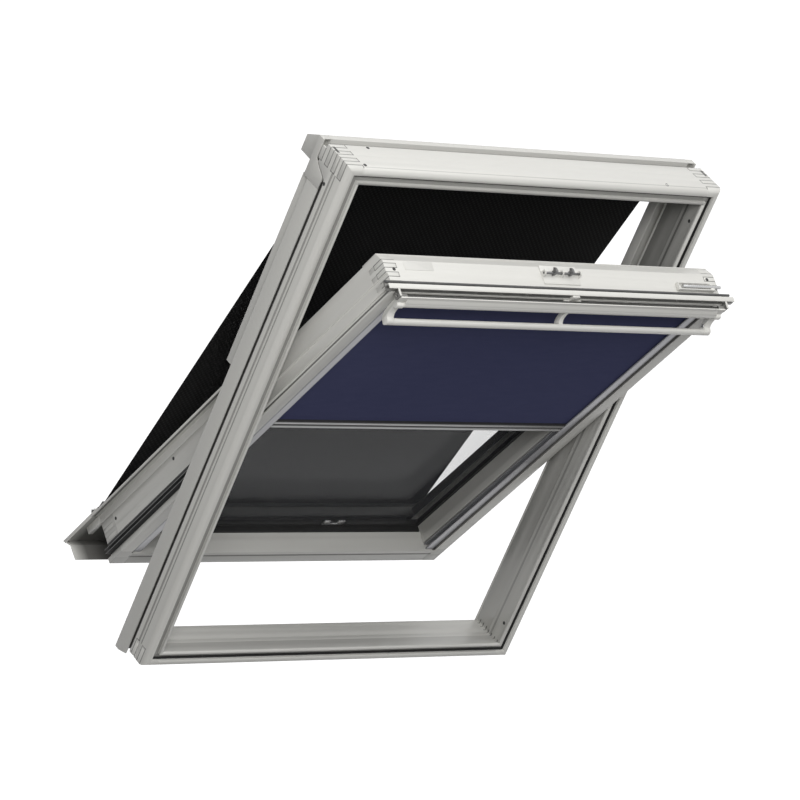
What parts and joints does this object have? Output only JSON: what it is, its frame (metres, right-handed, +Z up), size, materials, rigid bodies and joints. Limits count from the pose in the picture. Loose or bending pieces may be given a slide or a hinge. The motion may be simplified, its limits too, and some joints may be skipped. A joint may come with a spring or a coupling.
{
  "type": "roof window with blinds",
  "caption": "Centre-pivot roof window standing part open, with a black outside awning blind, a navy blackout blind and a grip bar along the top of the sash.",
  "frame": {"origin": "middle of the underside of the outer frame's sill, half way through its depth", "axes": "+X across the window to the right as seen from the room, +Y outdoors, square to the frame, +Z up the roof slope"},
  "size_m": [0.78, 0.5203, 0.996],
  "materials": {
    "painted_frame": "smooth light grey paint over jointed wood",
    "cover_sheet": "satin grey paint",
    "seal_rubber": "matt black",
    "profile_aluminium": "satin",
    "fitting_steel": "bright",
    "awning_rail": "matt black",
    "awning_cloth": "black open mesh",
    "blackout_cloth": "dark navy blue",
    "window_glass": "clear",
    "spacer_bar": "grey"
  },
  "bodies": {
    "frame": {"frame_jamb_left": "painted_frame", "frame_jamb_right": "painted_frame", "frame_head": "painted_frame", "frame_sill": "painted_frame", "lining_seal": "seal_rubber", "side_cover_left": "cover_sheet", "side_cover_right": "cover_sheet", "corner_cover_left": "cover_sheet", "corner_cover_right": "cover_sheet", "upper_cover_left": "cover_sheet", "upper_cover_right": "cover_sheet", "hinge_frame_left": "fitting_steel", "hinge_frame_right": "fitting_steel", "awning_casing": "cover_sheet", "awning_cap_left": "cover_sheet", "awning_cap_right": "cover_sheet", "lock_striker": "fitting_steel"},
    "sash": {"sash_stile_left": "painted_frame", "sash_stile_right": "painted_frame", "sash_head": "painted_frame", "sash_sill": "painted_frame", "sash_sill_seal": "seal_rubber", "glazing_gasket": "seal_rubber", "inner_pane": "window_glass", "pane_spacer": "spacer_bar", "outer_pane": "window_glass", "sash_cover_left": "cover_sheet", "sash_cover_right": "cover_sheet", "bottom_cover": "cover_sheet", "sash_foot_left": "cover_sheet", "sash_foot_right": "cover_sheet", "sash_top_cover": "cover_sheet", "side_gasket_left": "seal_rubber", "side_gasket_right": "seal_rubber", "head_lip": "profile_aluminium", "head_gasket": "seal_rubber", "hinge_sash_left": "fitting_steel", "hinge_sash_right": "fitting_steel", "blind_channel_left": "profile_aluminium", "blind_channel_right": "profile_aluminium", "blind_casing": "profile_aluminium", "flap_catch": "fitting_steel", "lock_case": "fitting_steel", "bolt_housing": "fitting_steel", "glass_clip": "fitting_steel", "awning_hook_left": "fitting_steel", "awning_hook_right": "fitting_steel"},
    "awning_roller": {"awning_roller": "profile_aluminium"},
    "awning_bar": {"awning_bar": "awning_rail", "awning_fabric": "awning_cloth"},
    "vent_bar": {"vent_bar": "painted_frame", "grip_bar": "painted_frame", "grip_bracket_left": "painted_frame", "grip_bracket_right": "painted_frame", "grip_strut": "painted_frame"},
    "lock_latch": {"lock_latch": "fitting_steel"},
    "barrel_bolt": {"barrel_bolt": "fitting_steel"},
    "blind_roller": {"blind_roller": "blackout_cloth"},
    "blind_bar": {"blind_bar": "profile_aluminium", "blackout_fabric": "blackout_cloth"}
  },
  "joints": [
    {"name": "sash_pivot", "type": "hinge", "parent": "frame", "child": "sash", "pos_m": [0, 0.048, 0.535], "axis": [1, 0, 0], "range_deg": [-25.44, 10.56]},
    {"name": "awning_tilt", "type": "hinge", "parent": "sash", "child": "awning_bar", "pos_m": [0, 0.27678, 0.09014], "axis": [-1, 0, 0], "range_deg": [-11.2, 4.8], "deforming": ["awning_fabric"]},
    {"name": "awning_roller_spin", "type": "hinge", "parent": "frame", "child": "awning_roller", "pos_m": [0, 0.07859, 0.94773], "axis": [-1, 0, 0], "range_deg": [-165.5, 68.8]},
    {"name": "flap_tilt", "type": "hinge", "parent": "sash", "child": "vent_bar", "pos_m": [0, -0.20325, 0.84902], "axis": [-1, 0, 0], "range_deg": [0, 35]},
    {"name": "latch_turn", "type": "hinge", "parent": "sash", "child": "lock_latch", "pos_m": [0, -0.15948, 0.87571], "axis": [1, 0, 0], "range_deg": [0, 35.5]},
    {"name": "bolt_slide", "type": "slide", "parent": "sash", "child": "barrel_bolt", "axis": [1, 0, 0], "range_m": [0, 0.012]},
    {"name": "blind_slide", "type": "slide", "parent": "sash", "child": "blind_bar", "axis": [0, -0.4296, 0.903], "range_m": [-0.42, 0.37], "deforming": ["blackout_fabric"]},
    {"name": "blind_roller_spin", "type": "hinge", "parent": "sash", "child": "blind_roller", "pos_m": [0, -0.17109, 0.84029], "axis": [-1, 0, 0], "range_deg": [-2737, 2411]}
  ],
  "couplings": [
    {"joint": "awning_tilt", "follows": "sash_pivot", "ratio": 0.436},
    {"joint": "awning_roller_spin", "follows": "sash_pivot", "ratio": 6.498},
    {"joint": "latch_turn", "follows": "flap_tilt", "ratio": 1},
    {"joint": "blind_roller_spin", "follows": "blind_slide", "rad_per_m": 113.64}
  ]
}
